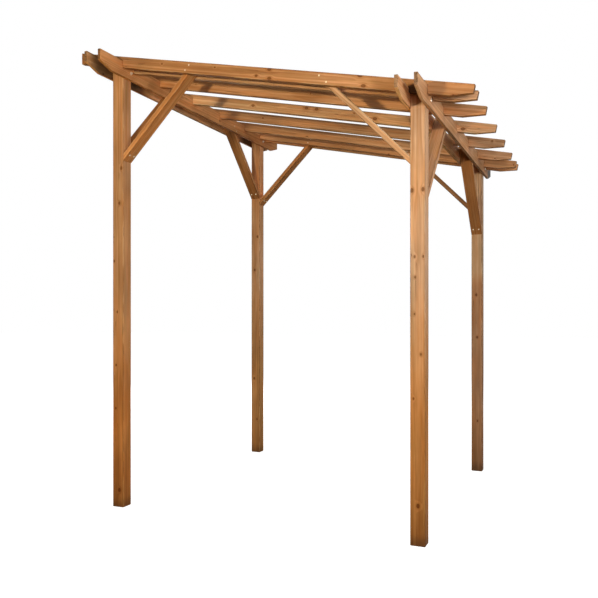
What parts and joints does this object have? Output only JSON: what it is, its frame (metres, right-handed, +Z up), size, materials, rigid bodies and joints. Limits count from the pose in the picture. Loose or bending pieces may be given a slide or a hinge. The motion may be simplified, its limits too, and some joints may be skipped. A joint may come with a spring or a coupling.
{
  "type": "timber garden pergola with a one-way sloping rafter roof",
  "caption": "Free-standing stained timber pergola: corner posts, knee braces, paired side boards and open rafters that fall to one side.",
  "frame": {"origin": "on the ground, midway between the four posts", "axes": "+Z up; +X across the rafters from the high side to the low side; +Y from the front to the back"},
  "size_m": [2.209, 2.223, 2.5769],
  "materials": {
    "post_timber": "satin stained",
    "beam_timber": "satin stained",
    "rafter_timber": "satin stained",
    "brace_timber": "satin stained"
  },
  "bodies": {
    "root": {"post_front_left": "post_timber", "post_front_right": "post_timber", "post_back_left": "post_timber", "post_back_right": "post_timber", "beam_left_outer": "beam_timber", "beam_left_inner": "beam_timber", "beam_right_outer": "beam_timber", "beam_right_inner": "beam_timber", "rafter_front_outer": "rafter_timber", "rafter_front_inner": "rafter_timber", "rafter_middle_1": "rafter_timber", "rafter_middle_2": "rafter_timber", "rafter_middle_3": "rafter_timber", "rafter_middle_4": "rafter_timber", "rafter_back_inner": "rafter_timber", "rafter_back_outer": "rafter_timber", "rafter_brace_front_left": "brace_timber", "rafter_brace_front_right": "brace_timber", "rafter_brace_back_left": "brace_timber", "rafter_brace_back_right": "brace_timber", "beam_brace_front_left": "brace_timber", "beam_brace_front_right": "brace_timber", "beam_brace_back_left": "brace_timber", "beam_brace_back_right": "brace_timber"}
  },
  "joints": []
}
